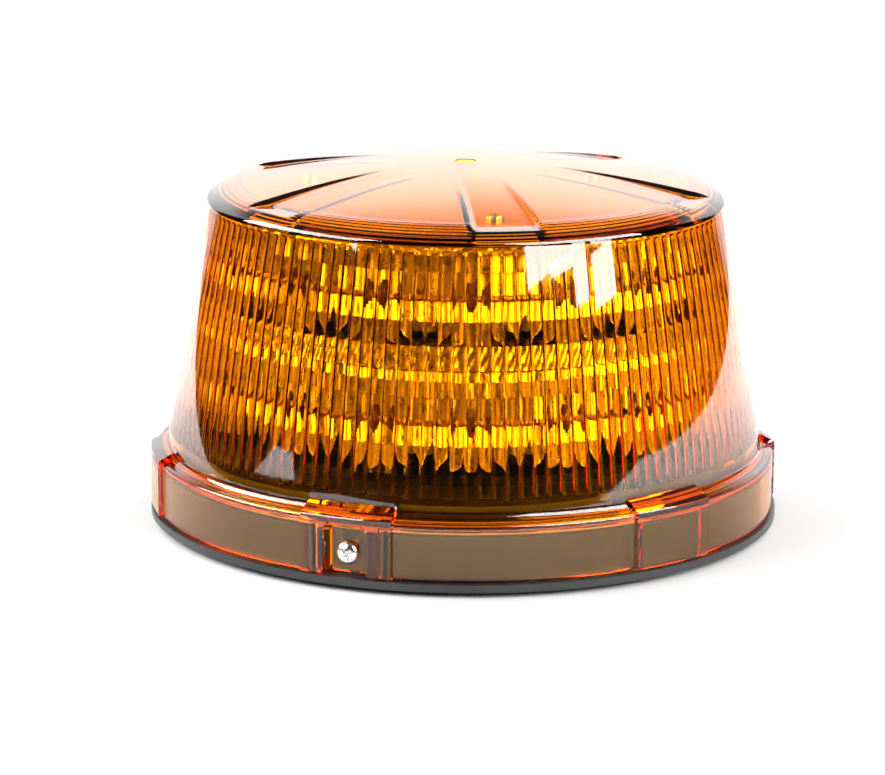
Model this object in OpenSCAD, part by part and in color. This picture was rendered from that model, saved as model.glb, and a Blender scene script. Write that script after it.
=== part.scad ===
/* [Overall] */
// Diameter over the base flange and over the lens tabs
flange_d = 160; // [158:0.5:163]
// Height of the middle of the lens above the mounting surface
overall_h = 90.6; // [90:0.1:92]

/* [Lens cover] */
// Diameter of the skirt at the foot of the lens
skirt_d = 158; // [157.6:0.1:158.4]
// Height of the lower edge of the skirt
skirt_bottom_z = 3.8; // [3.6:0.1:4]
// Height of the ledge between skirt and dome
ledge_z = 17.6; // [17.4:0.1:18]
// Diameter of the dome where it meets the ledge
dome_foot_d = 151; // [150:0.5:152]
// Diameter of the dome at its shoulder
dome_shoulder_d = 130.6; // [129:0.2:132]
// Height of the shoulder corner
shoulder_z = 81.3; // [80.5:0.1:81.8]
// How far the dome wall bulges beyond a straight cone
dome_bulge = 1; // [0:0.1:1.2]
// Radius of the shallow spherical top
crown_r = 312; // [300:1:330]
// Wall thickness of the lens
lens_t = 2.2; // [2:0.1:2.4]
// Width of a tab at the skirt
tab_w = 23.6; // [20:0.1:26]
// Depth of the wedge-shaped recesses in the top, at its rim
recess_h = 1.1; // [0.4:0.1:1.1]
// Width of a recess at the rim of the top
recess_w = 16; // [12:0.5:18]
// Diameter of the gate mark in the middle of the top
gate_d = 5.4; // [4:0.1:6]

/* [Lens fixing] */
// Number of screws that hold the lens
lens_screw_count = 3; // [3:1:3]
// Height of the lens screws above the mounting surface
lens_screw_z = 8.9; // [8.7:0.1:9.2]
// Thread diameter of a lens screw
lens_screw_d = 3; // [3:0.1:3]
// Length of a lens screw under its head
lens_screw_l = 8; // [8:0.5:8.5]
// Diameter of a lens screw head
lens_screw_head_d = 5.6; // [5:0.1:6]

/* [Mounting] */
// Pitch circle of the three mounting holes
mount_pcd = 130; // [128:1:131]
// Diameter of each mounting hole
mount_hole_d = 6.5; // [5.5:0.1:7]
// Bore of the cable grommet
cable_bore_d = 7; // [5:0.5:8]
// Thickness of the mounting gasket
gasket_t = 1.4; // [1.2:0.1:1.5]

/* [Light engine] */
// Optics in each tier
optic_count = 16; // [14:1:16]
// Diameter over the faces of the optics
optic_ring_d = 116; // [114:1:117]
// Height of one optic
optic_d = 24; // [23:0.1:24.4]
// Height of the middle of the lower tier
lower_tier_z = 36.9; // [36.5:0.1:37.2]
// Height of the middle of the upper tier
upper_tier_z = 67.4; // [67:0.1:67.8]
// Distance of the tower's flat faces from the axis
tower_flat_r = 44; // [43.5:0.1:44.2]

/* [Hidden] */
$fn = 128;

eps = 0.01;
flange_r = flange_d / 2;
flange_top_z = gasket_t + 1.8;
floor_z = gasket_t + 3;

skirt_r = skirt_d / 2;
skirt_t = 2;
skirt_in_r = skirt_r - skirt_t;
bead_r = 0.8;
cove_r = 2.2;
ledge_under_z = ledge_z - lens_t;
dome_foot_r = dome_foot_d / 2;
dome_top_r = dome_shoulder_d / 2;
cove_top_z = ledge_z + cove_r;
wall_steps = 8;
shoulder_steps = 10;
crown_steps = 12;
shoulder_a = 10.3;
shoulder_b = 4.2;
shoulder_n = 1.8;
shoulder_mid_r = dome_top_r - shoulder_a;
crown_edge_r = shoulder_mid_r + 2;
recess_start_r = 22;
recess_end_r = 61.8;
recess_count = 6;
gate_depth = 0.9;

tab_r = flange_r;
tab_angle = 2 * asin(tab_w / 2 / tab_r);
tab_top_z = ledge_z + 0.6;
tab_meet_z = ledge_z + 2.9;
tab_wall = 1.7;
tab_count = 6;

pocket_face_r = skirt_r - 2.1;
pocket_back_r = pocket_face_r - 1.8;
pocket_half_w = 4.4;
pocket_outer_half_w = 5.6;
pocket_top_z = 15.2;
pocket_corner_r = 1.8;
boss_half_w = 7.8;
boss_gap = 0.6;
notch_z = flange_top_z + 0.2;
shank_r = lens_screw_d / 2;
head_h = 2.3;

clamp_outer_r = pocket_back_r - 0.3;
clamp_t = 2.2;
clamp_half_w = 10;
slot_half_w = 2;
wall_out_r = skirt_in_r - 0.7;
wall_in_r = wall_out_r - 2.3;
wall_top_z = ledge_under_z - 1.4;
seal_out_r = pocket_back_r - 0.1;
seal_in_r = seal_out_r - 1.6;
tongue_out_r = clamp_outer_r - clamp_t - 0.4;
tongue_in_r = tongue_out_r - 3.2;
tongue_half_w = 4.5;
insert_r = 2.3;

mount_r = mount_pcd / 2;
bush_r = mount_hole_d / 2 + 1.6;
bush_h = 7;
mount_boss_r = bush_r + 1.9;
grommet_r = 9;
vent_r = 4;
vent_x = 30;

board_z = 10;
board_t = 1.6;
board_top_z = board_z + board_t;
board_r = 46;
board_hole_r = 11;
board_post_r = 40;
tower_post_r = 51;
carrier_z = 18.6;
carrier_t = 2;
carrier_r = 66;
tower_foot_z = carrier_z + carrier_t;
tower_foot_t = 2.2;
tower_wall = 3.6;
tower_in_r = tower_flat_r - tower_wall;
top_screw_r = tower_in_r + tower_wall / 2;
fin_t = 1.2;
fin_count = 8;
core_r = 15;
core_bore_r = 11;
core_turn = 90 / fin_count;
fin_h = 48;
led_board_t = 1.2;
led_board_h = 22;
led_face_r = tower_flat_r + led_board_t;
led_w = 3.4;
led_h = 0.9;
led_dome_r = 1.3;
reflector_in_r = 46.4;
optic_ring_r = optic_ring_d / 2;
optic_r = optic_d / 2;
tower_top_z = upper_tier_z + optic_r + 0.4;
well_r = 3.1;
// Bands on an optic's face: height of top and bottom from its middle, radius at each
optic_bands = [[optic_r, 9.7, 56.1, 57.1], [9.5, 5.9, 56.5, 57.1], [5.6, 0.4, 56.1, 57.3],
    [0.2, -1.4, 53, 53.4], [-1.6, -6, 55.9, 57.6], [-6.2, -optic_r, 56.9, 57.9]];
divider_z = (lower_tier_z + upper_tier_z) / 2;
divider_t = 5.6;
divider_r = optic_ring_r - 1;
top_plate_t = 1.6;
top_plate_r = optic_ring_r + 1;

function lerp(a, b, t) = a + (b - a) * t;
function smooth(t) = let (c = min(max(t, 0), 1)) c * c * (3 - 2 * c);
function wall_r(z) =
    let (t = (z - cove_top_z) / (shoulder_z - cove_top_z))
    lerp(dome_foot_r, dome_top_r, t) + 4 * dome_bulge * t * (1 - t);
function crown_z(r) = overall_h - r * r / (2 * crown_r);
function recess_z(r) =
    let (rim_r = min(r, crown_edge_r))
    crown_z(rim_r) - recess_h * smooth((rim_r - recess_start_r) / 32) - (r - rim_r) * 0.03;
function shoulder_point(a) = [
    shoulder_mid_r + shoulder_a * pow(cos(a), 2 / shoulder_n),
    shoulder_z + shoulder_b * pow(sin(a), 2 / shoulder_n)];
function polygon_ring(r, n) = [for (i = [0:n - 1]) let (a = (i + 0.5) * 360 / n) r * [cos(a), sin(a)]];

// Children point along +X; angle 0 turns them to the front, -Y
module at_angle(a) rotate([0, 0, a - 90]) children();

module around(count, first = 0) {
    for (i = [0:count - 1]) at_angle(first + i * 360 / count) children();
}

// A cylinder along +X from x0 to x1
module rod_x(r, x0, x1, z = 0) translate([x0, 0, z]) rotate([0, 90, 0]) cylinder(r = r, h = x1 - x0);

module tube(r_out, r_in, z0, z1) {
    translate([0, 0, z0]) difference() {
        cylinder(r = r_out, h = z1 - z0);
        translate([0, 0, -eps]) cylinder(r = r_in, h = z1 - z0 + 2 * eps);
    }
}

module facet_tube(flat_r, in_flat_r, z0, z1) {
    translate([0, 0, z0]) linear_extrude(z1 - z0) difference() {
        polygon(polygon_ring(flat_r / cos(180 / optic_count), optic_count));
        polygon(polygon_ring(in_flat_r / cos(180 / optic_count), optic_count));
    }
}

// A pan head screw whose shank points down from z = 0
module pan_screw(d, length, head_d, head_h) {
    difference() {
        union() {
            translate([0, 0, -length]) cylinder(d = d, h = length + eps);
            rotate_extrude() polygon([[0, 0], [head_d / 2, 0], [head_d / 2, head_h * 0.45],
                for (a = [20:20:80]) [head_d / 2 * cos(a), head_h * (0.45 + 0.55 * sin(a))],
                [0, head_h]]);
        }
        for (turn = [0, 90]) rotate([0, 0, turn])
            translate([-head_d * 0.3, -head_d * 0.06, head_h * 0.45])
                cube([head_d * 0.6, head_d * 0.12, head_h]);
    }
}

module sector(angle, points) rotate([0, 0, -angle / 2]) rotate_extrude(angle = angle) polygon(points);

module mounting_gasket() color("#3a3f3c")
    for (i = [0:2]) at_angle(i * 120)
        sector(108, [[70, 0], [77, 0], [77, gasket_t], [70, gasket_t]]);

module base() color("#17181a") difference() {
    union() {
        translate([0, 0, gasket_t]) cylinder(r = flange_r, h = flange_top_z - gasket_t);
        translate([0, 0, gasket_t]) cylinder(r = wall_out_r, h = floor_z - gasket_t);
        tube(wall_out_r, wall_in_r, floor_z - eps, wall_top_z);
        around(lens_screw_count)
            translate([clamp_outer_r - clamp_t, -clamp_half_w, floor_z - eps])
                cube([clamp_t + 0.4, 2 * clamp_half_w, wall_top_z - floor_z]);
        around(3, 60) translate([mount_r, 0, floor_z - eps])
            cylinder(r = mount_boss_r, h = gasket_t + bush_h - floor_z);
        translate([0, 0, floor_z - eps]) cylinder(r = grommet_r + 1.6, h = 2.6);
        around(4, 45) translate([board_post_r, 0, floor_z - eps]) cylinder(r = 3.4, h = board_z - floor_z);
        around(4, 0) translate([tower_post_r, 0, floor_z - eps]) cylinder(r = 4.2, h = carrier_z - floor_z);
    }
    around(lens_screw_count) {
        translate([clamp_outer_r - clamp_t - 1, -slot_half_w, lens_screw_z - slot_half_w])
            cube([clamp_t + 2, 2 * slot_half_w, 20]);
        translate([clamp_outer_r, -boss_half_w - boss_gap, notch_z])
            cube([10, 2 * (boss_half_w + boss_gap), 20]);
    }
    around(3, 60) translate([mount_r, 0, 0]) cylinder(r = bush_r, h = 20);
    cylinder(r = grommet_r - 2, h = 20);
    around(4, 45) translate([board_post_r, 0, floor_z]) cylinder(r = 1.25, h = 20);
    around(4, 0) translate([tower_post_r, 0, floor_z]) cylinder(r = 1.7, h = 20);
    at_angle(180) translate([vent_x, 0, 0]) cylinder(r = vent_r, h = 20);
}

module mount_bushes() color("silver")
    around(3, 60) translate([mount_r, 0, 0]) tube(bush_r, mount_hole_d / 2, gasket_t, gasket_t + bush_h);

module cable_grommet() color("#202122") difference() {
    union() {
        translate([0, 0, gasket_t]) cylinder(r = grommet_r - 2, h = 8.4);
        translate([0, 0, floor_z + 2.6]) cylinder(r = grommet_r, h = 1.4);
    }
    translate([0, 0, -eps]) cylinder(d = cable_bore_d, h = 20);
}

module breather_vent() color("#2a2b2d") at_angle(180) translate([vent_x, 0, gasket_t]) {
    cylinder(r = vent_r, h = floor_z - gasket_t);
    translate([0, 0, floor_z - gasket_t]) cylinder(r = vent_r + 1, h = 1.2);
}

module driver_board() color("#1d5b36") difference() {
    translate([0, 0, board_z]) cylinder(r = board_r, h = board_t);
    translate([0, 0, board_z - 1]) cylinder(r = board_hole_r, h = board_t + 2);
    around(4, 45) translate([board_post_r, 0, board_z - 1]) cylinder(r = 1.7, h = board_t + 2);
}

module capacitors() color("#2b2b35") for (a = [100, 130, 160])
    at_angle(a) translate([26, 0, board_top_z]) {
        cylinder(r = 3.9, h = 0.8);
        translate([0, 0, 0.8]) cylinder(r = 4, h = 5.4);
    }

module inductor() color("#3c3a38") at_angle(-120) translate([26, 0, board_top_z]) {
    cylinder(r = 6.2, h = 1.2);
    translate([0, 0, 1.2]) cylinder(r = 4.8, h = 3.4);
    translate([0, 0, 4.6]) cylinder(r = 6.2, h = 1.2);
}

module power_transistors() color("#161616") for (a = [-75, -55, -35, -15])
    at_angle(a) translate([27, -3.3, board_top_z]) {
        cube([6.2, 6.6, 2.3]);
        translate([6.2, 0.6, 0]) cube([1.6, 5.4, 0.6]);
    }

module controller_chips() color("#101012") {
    at_angle(20) translate([18, -4, board_top_z]) cube([8, 8, 1.4]);
    at_angle(60) translate([24, -2.5, board_top_z]) cube([4, 5, 1.5]);
    at_angle(75) translate([34, -2, board_top_z]) cube([2.6, 4, 1]);
}

module power_header() color("#e8e6dc") at_angle(-160) translate([24, -6, board_top_z]) difference() {
    cube([7, 12, 5.6]);
    translate([1, 1, 1.2]) cube([5, 10, 6]);
}

module link_header() color("#1a1a1a") at_angle(200) translate([33, -5, board_top_z]) cube([3, 10, 6.6]);

module board_screws() color("silver")
    around(4, 45) translate([board_post_r, 0, board_top_z]) pan_screw(2.5, 6, 4.8, 1.8);

module carrier_plate() color("#111213") difference() {
    union() {
        translate([0, 0, carrier_z]) cylinder(r = carrier_r, h = carrier_t);
        tube(carrier_r, carrier_r - 1.6, carrier_z - 3, carrier_z + eps);
    }
    around(4, 0) translate([tower_post_r, 0, carrier_z - 1]) cylinder(r = 2.2, h = 10);
    around(3, 60) translate([mount_r, 0, carrier_z - 4]) cylinder(r = mount_boss_r + 1.4, h = 10);
    translate([0, 0, carrier_z - 1]) cylinder(r = 30, h = 10);
}

module heat_sink_tower() color("#2a2b2e") difference() {
    union() {
        translate([0, 0, tower_foot_z]) cylinder(r = optic_ring_r - 3, h = tower_foot_t);
        facet_tube(tower_flat_r, tower_in_r, tower_foot_z, tower_top_z);
        for (i = [0:fin_count - 1]) rotate([0, 0, i * 180 / fin_count])
            translate([-tower_in_r - 0.8, -fin_t / 2, tower_foot_z])
                cube([2 * tower_in_r + 1.6, fin_t, fin_h]);
        rotate([0, 0, core_turn]) translate([0, 0, tower_foot_z]) cylinder(r = core_r, h = fin_h + 2);
    }
    rotate([0, 0, core_turn]) translate([0, 0, tower_foot_z - 1]) cylinder(r = core_bore_r, h = 80);
    around(4, 0) translate([tower_post_r, 0, tower_foot_z - 1]) cylinder(r = 2.2, h = 10);
    around(3, 30) translate([top_screw_r, 0, tower_top_z - 8]) cylinder(r = 1.25, h = 10);
}

module tower_screws() color("silver")
    around(4, 0) translate([tower_post_r, 0, tower_foot_z + tower_foot_t]) pan_screw(3.4, 14, 5.4, 1.6);

module led_board(z) facet_tube(led_face_r, tower_flat_r, z - led_board_h / 2, z + led_board_h / 2);

module led_board_lower() color("#dfe3df") led_board(lower_tier_z);

module led_board_upper() color("#dfe3df") led_board(upper_tier_z);

module leds(z) for (i = [0:optic_count - 1]) rotate([0, 0, i * 360 / optic_count])
    translate([led_face_r, 0, z]) {
        translate([0, -led_w / 2, -led_w / 2]) cube([led_h, led_w, led_w]);
        rotate([0, 90, 0]) translate([0, 0, led_h - eps]) cylinder(r = led_dome_r, h = 0.8);
    }

module leds_lower() color("#ffe680") leds(lower_tier_z);

module leds_upper() color("#ffe680") leds(upper_tier_z);

// Stepped bands face outwards, round below each light well and level on top
module reflector(z) difference() {
    intersection() {
        translate([0, 0, z]) rotate_extrude() polygon(concat([[reflector_in_r, -optic_r]],
            [for (k = [len(optic_bands) - 1:-1:0]) for (end = [1, 0])
                [optic_bands[k][2 + end], optic_bands[k][end]]],
            [[reflector_in_r, optic_r]]));
        union() {
            for (i = [0:optic_count - 1]) rotate([0, 0, i * 360 / optic_count])
                rod_x(optic_r, reflector_in_r - 2, optic_ring_r + 1, z);
            translate([0, 0, z + optic_r / 2]) cylinder(r = optic_ring_r, h = optic_r);
        }
    }
    for (i = [0:optic_count - 1]) rotate([0, 0, i * 360 / optic_count])
        rod_x(well_r, reflector_in_r - 1, optic_ring_r + 1, z);
}

module reflector_lower() color("#d9dcdf") reflector(lower_tier_z);

module reflector_upper() color("#d9dcdf") reflector(upper_tier_z);

module tier_divider() color("#c9ccd0") difference() {
    translate([0, 0, divider_z - divider_t / 2]) cylinder(r = divider_r, h = divider_t);
    translate([0, 0, divider_z - 5]) cylinder(r = reflector_in_r, h = 10);
}

module top_plate() color("#d5d7d9") difference() {
    translate([0, 0, tower_top_z]) cylinder(r = top_plate_r, h = top_plate_t);
    around(3, 30) translate([top_screw_r, 0, tower_top_z - 1]) cylinder(r = 1.7, h = 5);
}

module top_plate_screws() color("silver")
    around(3, 30) translate([top_screw_r, 0, tower_top_z + top_plate_t]) pan_screw(2.5, 8, 4.8, 1.5);

function lens_outline() = concat(
    [[skirt_r, skirt_bottom_z]],
    [for (a = [0:30:90])
        [skirt_r - bead_r + bead_r * cos(a), ledge_z - bead_r + bead_r * sin(a)]],
    [for (a = [270:-30:180])
        [dome_foot_r + cove_r + cove_r * cos(a), ledge_z + cove_r + cove_r * sin(a)]],
    [for (k = [1:wall_steps]) let (z = lerp(cove_top_z, shoulder_z, k / wall_steps)) [wall_r(z), z]],
    [for (k = [1:shoulder_steps]) let (p = shoulder_point(k * 88 / shoulder_steps))
        if (p[0] > crown_edge_r + 0.5) p],
    [for (k = [0:crown_steps]) let (r = crown_edge_r * (1 - k / crown_steps)) [r, crown_z(r)]]);

function lens_hollow() = concat(
    [[0, skirt_bottom_z - 1], [skirt_in_r, skirt_bottom_z - 1], [skirt_in_r, ledge_under_z],
        [wall_r(cove_top_z) - lens_t, ledge_under_z]],
    [for (k = [0:wall_steps]) let (z = lerp(cove_top_z, shoulder_z - 1.2, k / wall_steps))
        [wall_r(z) - lens_t, z]],
    [for (k = [0:crown_steps]) let (r = (crown_edge_r + 2) * (1 - k / crown_steps))
        [r, crown_z(r) - lens_t - recess_h * 0.6]]);

module tab_solid() sector(tab_angle, [[skirt_r - 1, skirt_bottom_z], [tab_r, skirt_bottom_z],
    [tab_r, tab_top_z], [dome_foot_r - 0.3, tab_meet_z], [dome_foot_r - 1, ledge_under_z + 1]]);

module tab_hollow() sector(tab_angle - 2.6, [[skirt_in_r - 1, skirt_bottom_z - 1],
    [tab_r - tab_wall, skirt_bottom_z - 1], [tab_r - tab_wall, ledge_z - 1], [skirt_in_r - 1, ledge_z - 1]]);

module lens_boss() intersection() {
    translate([pocket_back_r, -boss_half_w, skirt_bottom_z]) cube([10, 2 * boss_half_w, ledge_z - 4.6]);
    cylinder(r = tab_r - 0.2, h = 40);
}

module arch_cut(half_w, x0, top) {
    translate([x0, -half_w, skirt_bottom_z - 1])
        cube([10, 2 * half_w, top - skirt_bottom_z + 1 - pocket_corner_r]);
    translate([x0, -half_w + pocket_corner_r, top - pocket_corner_r - eps])
        cube([10, 2 * (half_w - pocket_corner_r), pocket_corner_r]);
    for (side = [-1, 1]) translate([x0, side * (half_w - pocket_corner_r), top - pocket_corner_r])
        rotate([0, 90, 0]) cylinder(r = pocket_corner_r, h = 10);
}

module wedge_recess() intersection() {
    rotate_extrude() polygon(concat(
        [for (k = [0:crown_steps]) let (r = lerp(recess_start_r, recess_end_r, k / crown_steps))
            [r, recess_z(r)]],
        [[recess_end_r + 4, recess_z(recess_end_r)], [recess_end_r + 4, overall_h + 2],
            [recess_start_r, overall_h + 2]]));
    linear_extrude(200) polygon([[recess_start_r, -recess_w * 0.3], [70, -recess_w / 2],
        [70, recess_w / 2], [recess_start_r, recess_w * 0.3]]);
}

module lens_shell() {
    difference() {
        union() {
            rotate_extrude() polygon(concat([[0, skirt_bottom_z]], lens_outline()));
            around(tab_count) tab_solid();
        }
        around(recess_count, 30) wedge_recess();
        rotate_extrude() polygon(lens_hollow());
        around(tab_count) tab_hollow();
        translate([0, 0, overall_h - gate_depth]) cylinder(d = gate_d, h = 5);
    }
}

module lens() color("#f28c0f", 0.6) difference() {
    union() {
        lens_shell();
        around(lens_screw_count) lens_boss();
        around(lens_screw_count) translate([tongue_in_r, -tongue_half_w, floor_z + 0.8])
            cube([tongue_out_r - tongue_in_r, 2 * tongue_half_w, 20 - floor_z - 0.8]);
        around(lens_screw_count) translate([tongue_out_r - 1, -tongue_half_w, ledge_under_z])
            cube([dome_foot_r - tongue_out_r, 2 * tongue_half_w, 20 - ledge_under_z]);
    }
    around(lens_screw_count) {
        arch_cut(pocket_half_w, pocket_face_r, pocket_top_z);
        arch_cut(pocket_outer_half_w, tab_r - 1.2, pocket_top_z + 1.2);
        rod_x(shank_r + 0.2, pocket_back_r - 1, tab_r, lens_screw_z);
        rod_x(insert_r, tongue_in_r - 1, tongue_out_r + 0.2, lens_screw_z);
    }
}

module lens_seal() color("#cfcabf")
    tube(seal_out_r, seal_in_r, wall_top_z + 0.3, ledge_under_z);

module lens_inserts() color("#c8a04a") around(lens_screw_count) difference() {
    rod_x(insert_r, tongue_in_r, tongue_out_r, lens_screw_z);
    rod_x(shank_r + 0.05, tongue_in_r - 1, tongue_out_r + 1, lens_screw_z);
}

module lens_screw(index) color("#d0d2d4") at_angle(index * 360 / lens_screw_count)
    translate([pocket_face_r, 0, lens_screw_z]) rotate([0, 90, 0]) rotate([0, 0, 35])
        pan_screw(lens_screw_d, lens_screw_l, lens_screw_head_d, head_h);

module lens_screw_1() lens_screw(0);
module lens_screw_2() lens_screw(1);
module lens_screw_3() lens_screw(2);

mounting_gasket();
base();
mount_bushes();
cable_grommet();
breather_vent();
driver_board();
capacitors();
inductor();
power_transistors();
controller_chips();
power_header();
link_header();
board_screws();
carrier_plate();
heat_sink_tower();
tower_screws();
led_board_lower();
led_board_upper();
leds_lower();
leds_upper();
reflector_lower();
reflector_upper();
tier_divider();
top_plate();
top_plate_screws();
lens();
lens_seal();
lens_inserts();
lens_screw_1();
lens_screw_2();
lens_screw_3();
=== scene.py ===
"""Looks for the low amber LED beacon: fluted cover, reflector optics, base, screws, studio."""
import math

import bpy
import numpy as np
from mathutils import Matrix, Vector


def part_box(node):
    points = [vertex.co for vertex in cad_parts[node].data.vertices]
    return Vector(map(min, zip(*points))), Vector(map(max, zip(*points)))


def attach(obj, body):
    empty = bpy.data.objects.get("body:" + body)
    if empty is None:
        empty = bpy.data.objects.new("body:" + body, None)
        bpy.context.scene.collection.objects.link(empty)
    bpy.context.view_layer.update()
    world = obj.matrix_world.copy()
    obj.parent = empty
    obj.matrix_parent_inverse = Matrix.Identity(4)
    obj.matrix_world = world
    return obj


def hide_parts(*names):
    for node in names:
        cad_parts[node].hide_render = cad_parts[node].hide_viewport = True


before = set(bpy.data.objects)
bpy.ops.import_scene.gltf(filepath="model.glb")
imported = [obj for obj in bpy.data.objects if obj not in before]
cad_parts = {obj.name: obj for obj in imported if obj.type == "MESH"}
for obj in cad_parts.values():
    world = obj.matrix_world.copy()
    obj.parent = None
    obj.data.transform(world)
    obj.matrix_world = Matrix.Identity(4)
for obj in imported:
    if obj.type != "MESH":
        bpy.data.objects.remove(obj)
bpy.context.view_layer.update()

MM = 0.001
TAU = 2 * math.pi


def box_mm(node):
    """Lowest and highest corner of a CAD node in millimetres."""
    low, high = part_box(node)
    return [v / MM for v in low], [v / MM for v in high]


# ---------------------------------------------------------------- sizes, in millimetres
LENS_LOW, LENS_HIGH = box_mm("lens")

APEX_Z = LENS_HIGH[2]
SKIRT_BOTTOM = LENS_LOW[2]
TAB_R = -LENS_LOW[1]
SKIRT_R = TAB_R - 1.0
SKIRT_IN_R = SKIRT_R - 2.0
LEDGE_Z = SKIRT_BOTTOM + 13.8
LEDGE_UNDER = LEDGE_Z - 2.2
COVE_R = 2.2
BEAD_R = 0.8
FOOT_R = SKIRT_R - 3.5
COVE_TOP = LEDGE_Z + COVE_R
SHOULDER_R = 65.3
SHOULDER_Z = 81.3
BULGE = 1.0
CROWN_R = 312.0
CROWN_EDGE = 57.0
LENS_T = 2.2
TAB_HALF_DEG = math.degrees(math.asin(11.8 / TAB_R))
TAB_TOP = LEDGE_Z + 0.6
TAB_MEET = LEDGE_Z + 2.9
POCKET_FACE = SKIRT_R - 2.1
POCKET_TOP = 15.2
SCREW_Z = 8.9
RECESS_H = 1.1
RECESS_START = 22.0
RECESS_END = 61.8
GATE_R = 2.7

FLUTES = 140
STEPS = 9
COLS = FLUTES * STEPS
FLUTE_DEPTH = 0.75
FLUTE_FOOT = COVE_TOP + 2.4
FLUTE_TOP = SHOULDER_Z - 1.4
INNER_CORNER_Z = SHOULDER_Z - 0.7
INNER_WIDER = 1.2
CROWN_T = 2.9
RIDGES = 7
RIDGE_DEPTH = 0.09


# ---------------------------------------------------------------- small helpers
def smooth(t):
    t = np.clip(t, 0.0, 1.0)
    return t * t * (3 - 2 * t)


def wall_r(z):
    """Outer radius of the dome wall at height z."""
    t = (z - COVE_TOP) / (SHOULDER_Z - COVE_TOP)
    return FOOT_R + (SHOULDER_R - FOOT_R) * t + 4 * BULGE * t * (1 - t)


def crown_z(r):
    """Height of the shallow spherical top at radius r."""
    return APEX_Z - r * r / (2 * CROWN_R)


def shoulder(t):
    """Point on the rounded shoulder: 0 at its corner, 1 at the edge of the crown."""
    a = t * math.radians(78)
    r = SHOULDER_R - 10.3 + 10.3 * math.cos(a) ** (2 / 1.8)
    z = SHOULDER_Z + 4.2 * math.sin(a) ** (2 / 1.8)
    return r, z


def new_object(name, verts, faces, material, smooth_angle=32):
    """Mesh object from points in millimetres, shaded smooth up to an angle."""
    mesh = bpy.data.meshes.new(name)
    mesh.from_pydata([tuple(v) for v in (np.asarray(verts) * MM)], [], faces)
    mesh.validate()
    mesh.polygons.foreach_set("use_smooth", [True] * len(mesh.polygons))
    mesh.set_sharp_from_angle(angle=math.radians(smooth_angle))
    mesh.materials.append(material)
    piece = bpy.data.objects.new(name, mesh)
    bpy.context.scene.collection.objects.link(piece)
    return piece


def ring_faces(rows, cols, first=0):
    """Quads between closed rings of cols points each."""
    faces = []
    for j in range(rows - 1):
        a, b = first + j * cols, first + (j + 1) * cols
        for i in range(cols):
            k = (i + 1) % cols
            faces.append((a + i, b + i, b + k, a + k))
    return faces


def spun(name, outline, material, cols=192, closed=True, smooth_angle=32):
    """Solid of revolution about Z from (r, z) points in millimetres."""
    ang = np.arange(cols) * TAU / cols
    verts = []
    for r, z in outline:
        verts += [(r * math.sin(a), -r * math.cos(a), z) for a in ang]
    rows = len(outline)
    faces = ring_faces(rows, cols)
    if closed:
        last = (rows - 1) * cols
        faces += [(last + i, i, (i + 1) % cols, last + (i + 1) % cols) for i in range(cols)]
    return new_object(name, verts, faces, material, smooth_angle)


# ---------------------------------------------------------------- materials
def material(name):
    mat = bpy.data.materials.new(name)
    mat.use_nodes = True
    nodes, links = mat.node_tree.nodes, mat.node_tree.links
    return mat, nodes, links, nodes["Principled BSDF"]


def noise(nodes, links, scale, detail=4.0, rough=0.5, stretch=(1, 1, 1)):
    """Noise in the object's own coordinates, which are metres."""
    coord = nodes.new("ShaderNodeTexCoord")
    mapping = nodes.new("ShaderNodeMapping")
    mapping.inputs["Scale"].default_value = stretch
    tex = nodes.new("ShaderNodeTexNoise")
    tex.inputs["Scale"].default_value = scale
    tex.inputs["Detail"].default_value = detail
    tex.inputs["Roughness"].default_value = rough
    links.new(coord.outputs["Object"], mapping.inputs["Vector"])
    links.new(mapping.outputs["Vector"], tex.inputs["Vector"])
    return tex


def ramp(nodes, links, source, stops):
    """Colour ramp over a node's first output."""
    node = nodes.new("ShaderNodeValToRGB")
    node.color_ramp.elements[0].position = stops[0][0]
    node.color_ramp.elements[0].color = (*stops[0][1], 1)
    node.color_ramp.elements[1].position = stops[-1][0]
    node.color_ramp.elements[1].color = (*stops[-1][1], 1)
    for place, colour in stops[1:-1]:
        node.color_ramp.elements.new(place).color = (*colour, 1)
    links.new(source, node.inputs["Fac"])
    return node


def spread(nodes, links, source, low, high):
    """Maps a 0 to 1 value onto low to high."""
    node = nodes.new("ShaderNodeMapRange")
    node.inputs["To Min"].default_value = low
    node.inputs["To Max"].default_value = high
    links.new(source, node.inputs["Value"])
    return node.outputs["Result"]


def bump(nodes, links, shader, source, strength, distance):
    node = nodes.new("ShaderNodeBump")
    node.inputs["Strength"].default_value = strength
    node.inputs["Distance"].default_value = distance
    links.new(source, node.inputs["Height"])
    links.new(node.outputs["Normal"], shader.inputs["Normal"])


def amber_plastic():
    """Clear amber polycarbonate: colour grows with the path through it."""
    mat, nodes, links, shader = material("amber_polycarbonate")
    shader.inputs["Transmission Weight"].default_value = 1.0
    shader.inputs["IOR"].default_value = 1.58
    haze = noise(nodes, links, 90.0, 3.0)
    tint = ramp(nodes, links, haze.outputs["Fac"],
                [(0.3, (1.0, 0.95, 0.55)), (0.7, (1.0, 0.93, 0.50))])
    links.new(tint.outputs["Color"], shader.inputs["Base Color"])
    links.new(spread(nodes, links, haze.outputs["Fac"], 0.015, 0.05), shader.inputs["Roughness"])
    absorb = nodes.new("ShaderNodeVolumeAbsorption")
    absorb.inputs["Color"].default_value = (0.99, 0.82, 0.02, 1)
    absorb.inputs["Density"].default_value = 1000.0
    out = nodes["Material Output"]
    links.new(absorb.outputs["Volume"], out.inputs["Volume"])
    return mat


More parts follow.
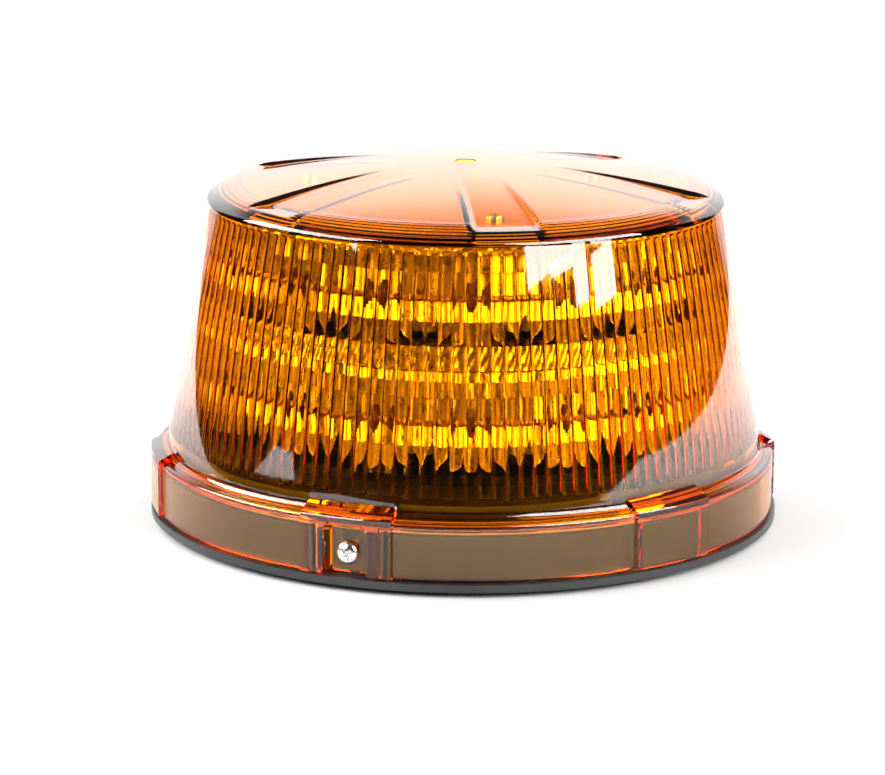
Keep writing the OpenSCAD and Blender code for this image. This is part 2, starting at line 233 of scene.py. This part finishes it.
def moulded(name, dark, light, rough=(0.38, 0.55), grain=900.0, depth=0.00004, strength=0.35):
    """Moulded plastic or rubber with a fine texture and slight colour variation."""
    mat, nodes, links, shader = material(name)
    fine = noise(nodes, links, grain, 6.0, 0.6)
    broad = noise(nodes, links, 25.0, 3.0)
    colour = ramp(nodes, links, broad.outputs["Fac"], [(0.3, dark), (0.7, light)])
    links.new(colour.outputs["Color"], shader.inputs["Base Color"])
    links.new(spread(nodes, links, fine.outputs["Fac"], *rough), shader.inputs["Roughness"])
    bump(nodes, links, shader, fine.outputs["Fac"], strength, depth)
    return mat


def metal(name, dark, light, rough, grain=400.0, stretch=(1, 1, 1), depth=0.00001):
    """Metal with streaks or mottling in its colour and roughness."""
    mat, nodes, links, shader = material(name)
    shader.inputs["Metallic"].default_value = 1.0
    fine = noise(nodes, links, grain, 5.0, 0.55, stretch)
    colour = ramp(nodes, links, fine.outputs["Fac"], [(0.25, dark), (0.75, light)])
    links.new(colour.outputs["Color"], shader.inputs["Base Color"])
    links.new(spread(nodes, links, fine.outputs["Fac"], *rough), shader.inputs["Roughness"])
    bump(nodes, links, shader, fine.outputs["Fac"], 0.25, depth)
    return mat


AMBER = amber_plastic()
BLACK_BASE = moulded("black_polycarbonate", (0.012, 0.012, 0.013), (0.022, 0.022, 0.023), (0.28, 0.42))
CARRIER = moulded("carrier_black_plastic", (0.006, 0.006, 0.006), (0.012, 0.012, 0.012), (0.35, 0.5))
GASKET = moulded("gasket_foam_rubber", (0.022, 0.025, 0.023), (0.036, 0.040, 0.038), (0.7, 0.9), 1600, 0.0001)
SEAL = moulded("seal_silicone", (0.02, 0.02, 0.021), (0.035, 0.035, 0.036), (0.5, 0.65))
SILICONE = moulded("natural_silicone", (0.62, 0.60, 0.55), (0.72, 0.70, 0.65), (0.5, 0.65))
ANODISED = metal("black_anodised_aluminium", (0.02, 0.02, 0.022), (0.05, 0.05, 0.052),
                 (0.3, 0.5), 500, (1, 1, 0.1))
STEEL = metal("zinc_plated_steel", (0.62, 0.63, 0.64), (0.86, 0.86, 0.85), (0.12, 0.3), 700)
BRASS = metal("knurled_brass", (0.55, 0.38, 0.14), (0.78, 0.58, 0.26), (0.2, 0.4), 900)
ALUMINIUM = metal("cast_aluminium", (0.55, 0.56, 0.57), (0.75, 0.76, 0.77), (0.3, 0.5), 500, (1, 1, 0.1))
MIRROR = metal("metallised_reflector", (0.62, 0.44, 0.24), (0.86, 0.62, 0.36), (0.16, 0.42), 380)
PLATE_METAL = metal("metallised_plate", (0.74, 0.64, 0.48), (0.86, 0.76, 0.58), (0.25, 0.4), 300)
BOARD_WHITE = moulded("white_solder_mask", (0.72, 0.74, 0.70), (0.82, 0.83, 0.80), (0.3, 0.45))
BOARD_GREEN = moulded("green_solder_mask", (0.012, 0.11, 0.045), (0.02, 0.17, 0.07), (0.25, 0.4))
EPOXY = moulded("chip_epoxy", (0.012, 0.012, 0.012), (0.025, 0.025, 0.025), (0.45, 0.6))
NYLON = moulded("natural_nylon", (0.70, 0.67, 0.58), (0.8, 0.77, 0.68), (0.4, 0.55))
FERRITE = moulded("ferrite_core", (0.06, 0.055, 0.05), (0.1, 0.09, 0.085), (0.5, 0.7))
PHOSPHOR = moulded("led_phosphor", (0.85, 0.55, 0.06), (0.98, 0.72, 0.12), (0.1, 0.2), 1200, 0.00001)


# ---------------------------------------------------------------- lens cover
def tab_mask(phi, half, edge=0.12):
    """1 on the six tabs, 0 between them, for angles in degrees."""
    away = np.abs((phi + 30) % 60 - 30)
    return smooth((half + edge - away) / (2 * edge))


def pocket_depth(phi, z):
    """How far the screw pocket cuts in from the tab's face."""
    away = np.abs((phi + 60) % 120 - 60)
    x = TAB_R * np.sin(np.radians(np.minimum(away, 30)))
    dx = np.maximum(x - (4.9 - 1.8), 0)
    dz = np.maximum(z - (POCKET_TOP + 0.3 - 1.8), 0)
    inside = 1.8 - np.hypot(dx, dz)
    return (TAB_R - POCKET_FACE) * smooth((inside + 1.0) / 1.7) * (away < 30)


def recess_drop(phi, r, widen=0.0):
    """1 inside the wedge recesses, 0 between them."""
    away = np.radians(np.abs((phi - 30 + 30) % 60 - 30))
    x = r * np.sin(away)
    half = widen + 4.8 + (8.0 - 4.8) * (r - RECESS_START) / (RECESS_END - RECESS_START)
    return smooth((half - x + 1.0) / 2.0)


def shoulder_z(r):
    """Height of the outer surface over crown and shoulder at radius r."""
    if r < CROWN_EDGE:
        return crown_z(r)
    points = sorted(shoulder(t) for t in np.linspace(0, 1, 60))
    return float(np.interp(r, [q[0] for q in points], [q[1] for q in points]))


def recess_sink(phi, r, widen=0.0):
    """How far the recesses lower the surface at radius r."""
    if r < CROWN_EDGE:
        deep = RECESS_H * (r - RECESS_START) / (CROWN_EDGE - RECESS_START) if r > RECESS_START else 0.0
    else:
        floor = crown_z(CROWN_EDGE) - RECESS_H - (r - CROWN_EDGE) * 0.03
        deep = max(shoulder_z(r) - floor, 0.0)
    return deep * recess_drop(phi, r, widen)


def outer_rows(phi):
    """Rings of the outer surface, from the middle of the top down to the skirt's lower edge."""
    rows = []
    one = np.ones_like(phi)
    gate_z = crown_z(0.0)
    for r, z in ((0.7, gate_z - 0.95), (GATE_R - 0.55, gate_z - 0.9), (GATE_R - 0.25, gate_z - 0.7),
                 (GATE_R - 0.1, gate_z - 0.12), (GATE_R + 0.1, gate_z)):
        rows.append((r * one, z * one))
    crown = list(np.linspace(4, RECESS_START, 7)) + list(np.linspace(24, CROWN_EDGE - 0.3, 26))
    for r in crown:
        rows.append((r * one, crown_z(r) - recess_sink(phi, r)))
    for t in np.linspace(0.97, 0.02, 26):
        r, z = shoulder(t)
        if r > CROWN_EDGE:
            rows.append((r * one, z - recess_sink(phi, r)))
    wall_heights = np.linspace(SHOULDER_Z - 2, TAB_MEET + 0.4, 30)
    for z in np.concatenate([[SHOULDER_Z - 0.15, SHOULDER_Z - 0.6], wall_heights]):
        rows.append((wall_r(z) * one, z * one))
    rows += foot_rows(phi)
    for z in np.linspace(TAB_TOP - 2.0, SKIRT_BOTTOM + 0.35, 38):
        tab = tab_mask(phi, TAB_HALF_DEG)
        r = SKIRT_R + tab * (TAB_R - SKIRT_R) - pocket_depth(phi, z)
        rows.append((r, z * one))
    r = SKIRT_R + tab_mask(phi, TAB_HALF_DEG) * (TAB_R - SKIRT_R) - pocket_depth(phi, SKIRT_BOTTOM)
    rows.append((r - 0.1, (SKIRT_BOTTOM + 0.1) * one))
    rows.append((r - 0.35, SKIRT_BOTTOM * one))
    return rows


def foot_rows(phi):
    """Rings from the dome wall over cove, ledge and bead, or down a tab's sloping top."""
    plain = [(wall_r(TAB_MEET), TAB_MEET), (FOOT_R + 0.02, COVE_TOP)]
    for a in np.radians([190, 205, 220, 235, 250, 265]):
        plain.append((FOOT_R + COVE_R + COVE_R * math.cos(a), LEDGE_Z + COVE_R + COVE_R * math.sin(a)))
    plain.append((FOOT_R + COVE_R + 0.3, LEDGE_Z))
    for a in np.radians([88, 65, 45, 25, 5]):
        plain.append((SKIRT_R - BEAD_R + BEAD_R * math.cos(a), LEDGE_Z - BEAD_R + BEAD_R * math.sin(a)))
    plain.append((SKIRT_R, TAB_TOP - 1.9))
    count = len(plain)
    tab = [(FOOT_R - 0.1, TAB_MEET)]
    for k in range(1, count - 4):
        t = k / (count - 5)
        tab.append((FOOT_R - 0.1 + (TAB_R - 0.5 - FOOT_R + 0.1) * t,
                    TAB_MEET + (TAB_TOP + 0.05 - TAB_MEET) * t))
    tab += [(TAB_R - 0.2, TAB_TOP - 0.12), (TAB_R - 0.04, TAB_TOP - 0.4),
            (TAB_R, TAB_TOP - 0.9), (TAB_R, TAB_TOP - 1.9)]
    mask = tab_mask(phi, TAB_HALF_DEG)
    rows = []
    for (pr, pz), (tr, tz) in zip(plain, tab):
        rows.append((pr + (tr - pr) * mask, pz + (tz - pz) * mask))
    return rows


def flute_in(k, depth):
    """Inward bulge of the flutes: k counts columns, one flute is STEPS of them."""
    u = (k % STEPS) / STEPS * 2 - 1
    return depth * np.sqrt(np.maximum(1 - (u * 0.93) ** 2, 0)) - depth * math.sqrt(1 - 0.93 ** 2)


def inner_rows(phi):
    """Rings of the inner surface, from the skirt's lower edge up to the middle of the top."""
    rows = []
    one = np.ones_like(phi)
    k = np.arange(len(phi))
    from_screw = np.abs((phi + 60) % 120 - 60)
    hollow = tab_mask(phi, TAB_HALF_DEG - 1.35) * (from_screw >= 6.2)
    boss = smooth((6.0 - from_screw) / 0.4)
    low = SKIRT_IN_R + hollow * 1.25 - boss * (SKIRT_IN_R - POCKET_FACE + 1.8)
    rows.append((low + 0.3, SKIRT_BOTTOM * one))
    rows.append((low, (SKIRT_BOTTOM + 0.3) * one))
    for z in np.linspace(SKIRT_BOTTOM + 1.2, LEDGE_UNDER - 0.5, 10):
        rows.append((low, z * one))
    rows.append((low, (LEDGE_UNDER - 0.05) * one))
    rows.append((low - 0.4, LEDGE_UNDER * one))
    inner_foot = wall_r(COVE_TOP) - LENS_T
    rows.append(((inner_foot + 0.5) * one, LEDGE_UNDER * one))
    rows.append((inner_foot * one, (LEDGE_UNDER + 0.5) * one))
    for z in (COVE_TOP - 1.5, COVE_TOP, FLUTE_FOOT - 0.9, FLUTE_FOOT - 0.05):
        rows.append(((wall_r(max(z, COVE_TOP)) - LENS_T) * one, z * one))
    ends = [(FLUTE_TOP - 1.6 + 1.6 * t, math.sqrt(1 - t * t)) for t in (0.3, 0.6, 0.8, 0.92, 0.98)]
    for z, grow in [(z, 1.0) for z in np.linspace(FLUTE_FOOT + 0.05, FLUTE_TOP - 1.6, 34)] + ends:
        rows.append((wall_r(z) - LENS_T + 0.25 - flute_in(k, FLUTE_DEPTH) * grow, z * one))
    start_r = wall_r(FLUTE_TOP) - LENS_T + 0.2
    rows.append((start_r * one, (FLUTE_TOP + 0.1) * one))
    end_r = CROWN_EDGE - 1.5
    rise = crown_z(end_r) - CROWN_T - INNER_CORNER_Z
    for n in range(RIDGES * 4 + 1):
        t = n / (RIDGES * 4)
        r = start_r - 0.1 + (end_r - start_r + 0.1) * t
        tooth = RIDGE_DEPTH * abs(((n / 4.0) % 1.0) * 2 - 1)
        z = INNER_CORNER_Z + rise * t ** 0.8
        rows.append((r * one, z - tooth - recess_sink(phi, r, INNER_WIDER) * 0.8 * t))
    for r in np.linspace(end_r - 1.5, 3, 30):
        rows.append((r * one, crown_z(r) - CROWN_T - recess_sink(phi, r, INNER_WIDER)))
    rows.append((0.7 * one, (crown_z(0) - CROWN_T) * one))
    return rows


def lens_cover():
    phi = np.arange(COLS) * 360.0 / COLS
    outer, inner = outer_rows(phi), inner_rows(phi)
    a = np.radians(phi)
    points = [np.stack([r * np.sin(a), -r * np.cos(a), z], axis=1) for r, z in outer + inner]
    verts = list(np.concatenate(points))
    rows = len(points)
    faces = ring_faces(rows, COLS)
    top, bottom = len(verts), len(verts) + 1
    verts += [(0, 0, crown_z(0) - 0.95), (0, 0, crown_z(0) - CROWN_T)]
    last = (rows - 1) * COLS
    for i in range(COLS):
        k = (i + 1) % COLS
        faces.append((top, i, k))
        faces.append((bottom, last + k, last + i))
    piece = new_object("lens_cover", verts, faces, AMBER, 24)
    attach(piece, "lens_cover")
    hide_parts("lens")
    return piece


lens_cover()


def gate_scar():
    """Rough end of the moulding gate, in the small recess in the middle of the top."""
    rough = moulded("gate_scar_amber", (0.62, 0.24, 0.01), (0.78, 0.33, 0.02), (0.5, 0.7), 1500, 0.00004)
    top = APEX_Z - 0.12
    piece = spun("gate_scar", [(0.02, top), (1.2, top + 0.02), (2.4, top - 0.02), (2.55, top - 0.2),
                               (2.1, top - 0.75), (0.02, top - 0.75)], rough, 64)
    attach(piece, "lens_cover")


gate_scar()


# ---------------------------------------------------------------- screws
SCREW_SHANK_R = 1.5
SCREW_LENGTH = 8.0
THREAD_PITCH = 0.5
THREAD_DEPTH = 0.28
HEAD_R = 2.8
HEAD_SIDE = 1.0
HEAD_DOME = 1.25
HEAD_RINGS = 34
CROSS_REACH = 1.65
CROSS_HALF = 0.36
CROSS_DEPTH = 1.3
CROSS_TURN = math.radians(35)


def cross_recess(y, z):
    """Depth of the tapered cross recess at a place on a screw head."""
    c, s = math.cos(CROSS_TURN), math.sin(CROSS_TURN)
    u, v = np.abs(y * c + z * s), np.abs(z * c - y * s)
    long, short = np.maximum(u, v), np.minimum(u, v)
    edge = np.minimum(CROSS_REACH - long, CROSS_HALF + 0.12 * (CROSS_REACH - long) - short)
    return CROSS_DEPTH * smooth(edge / 0.22) * (1 - 0.35 * long / CROSS_REACH)


def lens_screw(number):
    """Pan head screw with a cross recess and a rolled thread, pointing at the beacon's axis."""
    cols = 72
    ang = np.arange(cols) * TAU / cols
    rows = [(np.full(cols, -SCREW_LENGTH), np.full(cols, r)) for r in (0.3, 0.9)]
    for x in np.arange(-SCREW_LENGTH + 0.3, -0.4, 0.125):
        wave = np.abs(((x / THREAD_PITCH + ang / TAU) % 1.0) * 2 - 1)
        start = smooth((x + SCREW_LENGTH) / 0.9)
        rows.append((np.full(cols, x), SCREW_SHANK_R - 0.35 * (1 - start) - THREAD_DEPTH * wave))
    for x, r in ((-0.3, 1.3), (0.0, 1.35), (0.0, HEAD_R - 0.1), (0.1, HEAD_R), (HEAD_SIDE * 0.5, HEAD_R)):
        rows.append((np.full(cols, x), np.full(cols, r)))
    for t in np.linspace(0, 1, HEAD_RINGS)[:-1]:
        r = HEAD_R * (1 - t)
        x = HEAD_SIDE + HEAD_DOME * math.sqrt(max(1 - (r / HEAD_R) ** 2, 0)) ** 1.15
        y, z = r * np.cos(ang), r * np.sin(ang)
        rows.append((x - cross_recess(y, z), np.full(cols, r)))
    turn = (number - 1) * TAU / 3
    out = np.array([math.sin(turn), -math.cos(turn), 0])
    side = np.array([math.cos(turn), math.sin(turn), 0])
    up = np.array([0, 0, 1])
    verts = []
    for x, r in rows:
        for k in range(cols):
            across, height = r[k] * math.cos(ang[k]), r[k] * math.sin(ang[k])
            verts.append(out * (POCKET_FACE + x[k]) + side * across + up * (SCREW_Z + height))
    faces = ring_faces(len(rows), cols)
    faces.append(tuple(range(cols)))
    faces.append(tuple(reversed(range((len(rows) - 1) * cols, len(rows) * cols))))
    piece = new_object(f"lens_screw_{number}_threaded", verts, faces, STEEL, 30)
    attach(piece, f"screw_{number}")
    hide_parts(f"lens_screw_{number}")


for screw_number in (1, 2, 3):
    lens_screw(screw_number)


# ---------------------------------------------------------------- optics
OPTICS = 16
OPTIC_IN_R = 46.4
OPTIC_RING_R = 58.0
FRAME_R = 12.0
REEDS = 128
REED_STEPS = 6
REED_DEPTH = 0.5
PIT_R = 3.1
# Bands of one optic's face: top and bottom height from its middle, radius there
OPTIC_BANDS = [
    (12.0, 9.7, 56.1, 57.1), (9.5, 5.9, 56.5, 57.1), (5.6, 0.4, 56.1, 57.3),
    (0.2, -1.4, 53.0, 53.4), (-1.6, -6.0, 55.9, 57.6), (-6.2, -12.0, 56.9, 57.9)]


def reeds(count, phase, rng):
    """Rounded reeds side by side round a ring, from 0 between them to 1 on top."""
    k = np.arange(count * REED_STEPS)
    u = (k % REED_STEPS + 0.5) / REED_STEPS * 2 - 1
    shape = 1 - u ** 2
    uneven = np.repeat(rng.uniform(0.75, 1.15, count), REED_STEPS)
    return np.roll(shape * uneven, phase)


def optic_ring(name, node, seed):
    """Ring of sixteen optics with stepped, reeded faces, round below and flat on top."""
    low, high = box_mm(node)
    middle = (low[2] + high[2]) / 2
    rng = np.random.default_rng(seed)
    cols = REEDS * REED_STEPS
    phi = (np.arange(cols) + 0.5) * TAU / cols
    sector = TAU / OPTICS
    away = (phi + sector / 2) % sector - sector / 2
    across = OPTIC_RING_R * np.sin(away)
    lowest = -np.sqrt(FRAME_R ** 2 - across ** 2)
    rows = [(np.full(cols, OPTIC_IN_R), np.full(cols, FRAME_R))]
    for top, bottom, r_top, r_bottom in OPTIC_BANDS:
        shape = reeds(REEDS, int(rng.integers(0, REED_STEPS)), rng)
        tilt = np.repeat(rng.uniform(-0.9, 0.5, REEDS), REED_STEPS)
        steps = max(int((top - bottom) / 0.7), 2)
        for t in np.linspace(0, 1, steps + 1):
            z = np.maximum(top + (bottom - top) * t, lowest)
            r = r_top + (r_bottom - r_top) * t + tilt * (t - 0.5) - REED_DEPTH * (1 - shape) - 0.1
            pit = np.hypot(across, z) < PIT_R
            rows.append((np.where(pit, OPTIC_IN_R + 0.1, r), z))
    rows.append((np.full(cols, OPTIC_IN_R), lowest))
    verts = []
    for r, z in rows:
        verts += list(zip(r * np.cos(phi), r * np.sin(phi), z + middle))
    faces = ring_faces(len(rows), cols)
    last = (len(rows) - 1) * cols
    faces += [(last + k, k, (k + 1) % cols, last + (k + 1) % cols) for k in range(cols)]
    piece = new_object(name, verts, [f[::-1] for f in faces], MIRROR, 25)
    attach(piece, "base")
    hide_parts(node)


def spacer_ring():
    """Reeded ring between the two tiers of optics."""
    low, high = box_mm("tier_divider")
    rng = np.random.default_rng(5)
    cols = REEDS * REED_STEPS
    phi = (np.arange(cols) + 0.5) * TAU / cols
    outer, inner = high[0], OPTIC_IN_R
    rows = [(np.full(cols, inner), high[2])]
    for t in np.linspace(0, 1, 7):
        shape = np.roll(reeds(REEDS, 0, rng), int(10 * t))
        rows.append((outer - 1.2 + 1.1 * t - REED_DEPTH * (1 - shape), high[2] + (low[2] - high[2]) * t))
    rows.append((np.full(cols, inner), low[2]))
    verts = []
    for r, z in rows:
        verts += list(zip(r * np.cos(phi), r * np.sin(phi), np.full(cols, z)))
    faces = ring_faces(len(rows), cols)
    last = (len(rows) - 1) * cols
    faces += [(last + k, k, (k + 1) % cols, last + (k + 1) % cols) for k in range(cols)]
    piece = new_object("tier_spacer", verts, [f[::-1] for f in faces], MIRROR, 25)
    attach(piece, "base")
    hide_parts("tier_divider")


optic_ring("optics_lower", "reflector_lower", 3)
optic_ring("optics_upper", "reflector_upper", 8)
spacer_ring()


# ---------------------------------------------------------------- finishes of the CAD nodes
def finish_node(node, mat):
    mesh_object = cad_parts[node]
    for place in mesh_object.material_slots:
        place.material = mat


NODE_FINISH = {
    "mounting_gasket": GASKET, "base": BLACK_BASE, "mount_bushes": STEEL, "cable_grommet": SEAL,
    "breather_vent": EPOXY, "driver_board": BOARD_GREEN, "capacitors": ALUMINIUM, "inductor": FERRITE,
    "power_transistors": EPOXY, "controller_chips": EPOXY, "power_header": NYLON, "link_header": EPOXY,
    "board_screws": STEEL, "carrier_plate": CARRIER, "heat_sink_tower": ANODISED, "tower_screws": STEEL,
    "led_board_lower": BOARD_WHITE, "led_board_upper": BOARD_WHITE, "leds_lower": PHOSPHOR,
    "leds_upper": PHOSPHOR, "top_plate": PLATE_METAL, "top_plate_screws": STEEL, "lens_seal": SILICONE,
    "lens_inserts": BRASS,
}
for node_name, node_material in NODE_FINISH.items():
    finish_node(node_name, node_material)


# ---------------------------------------------------------------- studio
CAMERA_AZ = 20.85
CAMERA_ELEV = math.radians(13.417)
CAMERA_ROLL = math.radians(0.408)
CAMERA_TURN = Matrix.Rotation(math.radians(CAMERA_AZ), 3, "Z")


def studio_floor(name, corners):
    """White sheet lying on the ground, with painted shade making it grey round the beacon; corners are metres
    to the right of and beyond the beacon.
    """
    mat, nodes, links, shader = material("pale_floor")
    coord = nodes.new("ShaderNodeTexCoord")
    reach = nodes.new("ShaderNodeVectorMath")
    reach.operation = "LENGTH"
    links.new(coord.outputs["Object"], reach.inputs[0])
    # Painted shade: the floor's colour is dark grey close to the beacon and pales with distance, like a soft
    # shadow round it.
    painted_shade_tone = ramp(nodes, links, reach.outputs["Value"],
                [(0.12, (0.36, 0.36, 0.36)), (0.3, (0.8, 0.8, 0.8)), (0.6, (0.92, 0.92, 0.92))])
    links.new(painted_shade_tone.outputs["Color"], shader.inputs["Base Color"])
    shader.inputs["Roughness"].default_value = 0.9
    mesh = bpy.data.meshes.new(name)
    turned = [CAMERA_TURN @ Vector((x, y, 0)) for x, y in corners]
    mesh.from_pydata([tuple(v) for v in turned], [], [tuple(range(len(corners)))])
    mesh.materials.append(mat)
    floor = bpy.data.objects.new(name, mesh)
    bpy.context.scene.collection.objects.link(floor)


ROOM_LIGHT = 0.012
BACKDROP_LIGHT = [(0.0, (0.7, 0.7, 0.7)), (0.2, (0.9, 0.9, 0.9)), (0.34, (1, 1, 1)),
                  (0.42, (0.9, 0.9, 0.9)), (0.58, (0.05, 0.05, 0.05))]


def studio_world():
    """Dim room with a bright backdrop standing behind the beacon."""
    world = bpy.data.worlds.new("studio")
    bpy.context.scene.world = world
    world.use_nodes = True
    nodes, links = world.node_tree.nodes, world.node_tree.links
    coord = nodes.new("ShaderNodeTexCoord")
    turn = nodes.new("ShaderNodeMapping")
    turn.inputs["Rotation"].default_value = (0, 0, -math.radians(CAMERA_AZ))
    links.new(coord.outputs["Generated"], turn.inputs["Vector"])
    flat = nodes.new("ShaderNodeVectorMath")
    flat.operation = "MULTIPLY"
    flat.inputs[1].default_value = (1, 1, 0)
    links.new(turn.outputs["Vector"], flat.inputs[0])
    level = nodes.new("ShaderNodeVectorMath")
    level.operation = "NORMALIZE"
    links.new(flat.outputs["Vector"], level.inputs[0])
    part = nodes.new("ShaderNodeSeparateXYZ")
    links.new(level.outputs["Vector"], part.inputs["Vector"])
    high = nodes.new("ShaderNodeSeparateXYZ")
    links.new(turn.outputs["Vector"], high.inputs["Vector"])
    widen = nodes.new("ShaderNodeMath")
    widen.operation = "MULTIPLY_ADD"
    widen.inputs[1].default_value = 0.5
    links.new(high.outputs["Z"], widen.inputs[0])
    links.new(part.outputs["Y"], widen.inputs[2])
    sideways = ramp(nodes, links, widen.outputs["Value"], [(0.70, (0, 0, 0)), (0.78, (1, 1, 1))])
    upward = ramp(nodes, links, high.outputs["Z"], BACKDROP_LIGHT)
    both = nodes.new("ShaderNodeMix")
    both.data_type = "RGBA"
    both.inputs["A"].default_value = (ROOM_LIGHT, ROOM_LIGHT, ROOM_LIGHT, 1)
    links.new(sideways.outputs["Color"], both.inputs["Factor"])
    links.new(upward.outputs["Color"], both.inputs["B"])
    back = nodes["Background"]
    links.new(both.outputs["Result"], back.inputs["Color"])
    back.inputs["Strength"].default_value = 2.15


def soft_box(name, azimuth, low, high, distance, half_angle, glow, mirrored=True):
    """Panel facing the beacon: azimuth and elevations in degrees seen from it, glow is its radiance."""
    a, e = math.radians(azimuth), math.radians((low + high) / 2)
    data = bpy.data.lights.new(name, "AREA")
    data.shape = "RECTANGLE"
    data.size = 2 * distance * math.tan(math.radians(half_angle))
    data.size_y = 2 * distance * math.tan(math.radians((high - low) / 2))
    data.energy = glow * 4 * data.size * data.size_y
    lamp = bpy.data.objects.new(name, data)
    lamp.visible_glossy = mirrored
    aim = Vector((0, 0, 0.05))
    out = Vector((math.sin(a) * math.cos(e), -math.cos(a) * math.cos(e), math.sin(e)))
    lamp.location = CAMERA_TURN @ (aim + out * distance)
    lamp.rotation_euler = (CAMERA_TURN @ -out).to_track_quat("-Z", "Y").to_euler()
    bpy.context.scene.collection.objects.link(lamp)


def photo_camera():
    """Camera at the angle, distance and focal length that the beacon was seen from."""
    turn = CAMERA_TURN
    forward = Vector((0, math.cos(CAMERA_ELEV), -math.sin(CAMERA_ELEV)))
    right = Vector((1, 0, 0))
    up = right.cross(forward)
    right_rolled = right * math.cos(CAMERA_ROLL) + up * math.sin(CAMERA_ROLL)
    up_rolled = up * math.cos(CAMERA_ROLL) - right * math.sin(CAMERA_ROLL)
    target = Vector((-5.47, 0, 31.87)) * MM
    place = target - forward * 0.85
    data = bpy.data.cameras.new("camera")
    data.sensor_width = 36
    data.lens = 3324.4 / 885 * data.sensor_width
    data.clip_start, data.clip_end = 0.05, 50
    camera = bpy.data.objects.new("camera", data)
    axes = Matrix((turn @ right_rolled, turn @ up_rolled, turn @ -forward)).transposed().to_4x4()
    camera.matrix_world = Matrix.Translation(turn @ place) @ axes
    bpy.context.scene.collection.objects.link(camera)
    bpy.context.scene.camera = camera


studio_floor("floor", [(-0.20, -0.225), (0.49, -0.225), (0.49, 0.78), (-0.62, 0.78),
                       (-0.44, 0.42), (-0.30, 0.18), (-0.20, 0.02)])
studio_floor("floor_card", [(-0.28, -0.07), (-0.31, -0.18), (-0.56, -0.27), (-0.56, -0.18)])
studio_world()
soft_box("right_box", 53, 13, 45, 1.1, 28, 12)
soft_box("right_bar_1", 43, 12, 13, 1.1, 8, 12)
soft_box("right_bar_2", 48, 9, 12, 1.1, 3, 12)
soft_box("right_bar_3", 58.5, 8, 12, 1.1, 5, 12)
soft_box("left_box", -80, 15, 45, 1.1, 33, 12)
soft_box("back_left_box", -128, 35, 70, 1.2, 20, 6, mirrored=False)
soft_box("back_right_box", 128, 35, 70, 1.2, 20, 6, mirrored=False)
photo_camera()
bpy.context.scene.view_settings.view_transform = "Standard"
